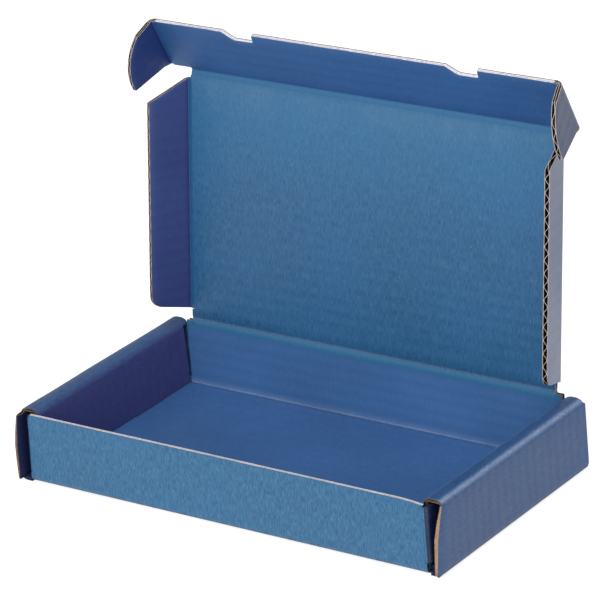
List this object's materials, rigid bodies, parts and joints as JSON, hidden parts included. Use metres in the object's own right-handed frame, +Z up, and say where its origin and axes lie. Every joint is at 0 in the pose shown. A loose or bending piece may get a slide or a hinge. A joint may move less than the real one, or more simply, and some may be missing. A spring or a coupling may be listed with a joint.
{
  "type": "corrugated mailer box",
  "caption": "Open one-piece roll-end mailer box of fluted board with a hinged lid, two lid side flaps and a tuck flap with ears.",
  "frame": {"origin": "middle of the bottom panel's underside, on the surface the box stands on", "axes": "+X to the right along the lid's hinge, +Y from the front wall to the hinge, +Z up"},
  "size_m": [0.2374, 0.1417, 0.1872],
  "materials": {
    "tray_board": "matt printed blue on both faces, bare fluted edges",
    "lid_board": "matt printed blue on both faces, bare fluted edges",
    "side_flap_board": "matt printed blue on both faces, bare fluted edges",
    "tuck_board": "matt printed blue on both faces, bare fluted edges",
    "ear_board": "matt printed blue on both faces, bare fluted edges"
  },
  "bodies": {
    "tray": {"tray": "tray_board"},
    "lid": {"lid": "lid_board"},
    "side_flap_left": {"side_flap_left": "side_flap_board"},
    "side_flap_right": {"side_flap_right": "side_flap_board"},
    "tuck_flap": {"tuck_flap": "tuck_board"},
    "ear_left": {"ear_left": "ear_board"},
    "ear_right": {"ear_right": "ear_board"}
  },
  "joints": [
    {"name": "lid_hinge", "type": "hinge", "parent": "tray", "child": "lid", "pos_m": [0, 0.06025, 0.037], "axis": [-1, 0, 0], "range_deg": [-97.4, 7.6]},
    {"name": "tuck_crease", "type": "hinge", "parent": "lid", "child": "tuck_flap", "pos_m": [0, 0.07612, 0.15922], "axis": [1, 0, 0], "range_deg": [-34.2, 55.8]},
    {"name": "side_flap_left_crease", "type": "hinge", "parent": "lid", "child": "side_flap_left", "pos_m": [-0.104, 0.06025, 0.037], "axis": [0, 0.1288, 0.9917], "range_deg": [-2.5, 31.3]},
    {"name": "side_flap_right_crease", "type": "hinge", "parent": "lid", "child": "side_flap_right", "pos_m": [0.104, 0.06025, 0.037], "axis": [0, -0.1288, -0.9917], "range_deg": [-2.5, 31.3]},
    {"name": "ear_left_crease", "type": "hinge", "parent": "tuck_flap", "child": "ear_left", "pos_m": [-0.1128, 0.07612, 0.15922], "axis": [0, -0.4509, 0.8926], "range_deg": [-0.6, 6.1]},
    {"name": "ear_right_crease", "type": "hinge", "parent": "tuck_flap", "child": "ear_right", "pos_m": [0.1128, 0.07612, 0.15922], "axis": [0, 0.4509, -0.8926], "range_deg": [-1.2, 14.7]}
  ],
  "couplings": [
    {"joint": "side_flap_left_crease", "follows": "lid_hinge", "ratio": -0.32},
    {"joint": "side_flap_right_crease", "follows": "lid_hinge", "ratio": -0.32},
    {"joint": "ear_left_crease", "follows": "lid_hinge", "ratio": -0.061602},
    {"joint": "ear_right_crease", "follows": "lid_hinge", "ratio": -0.1499}
  ]
}
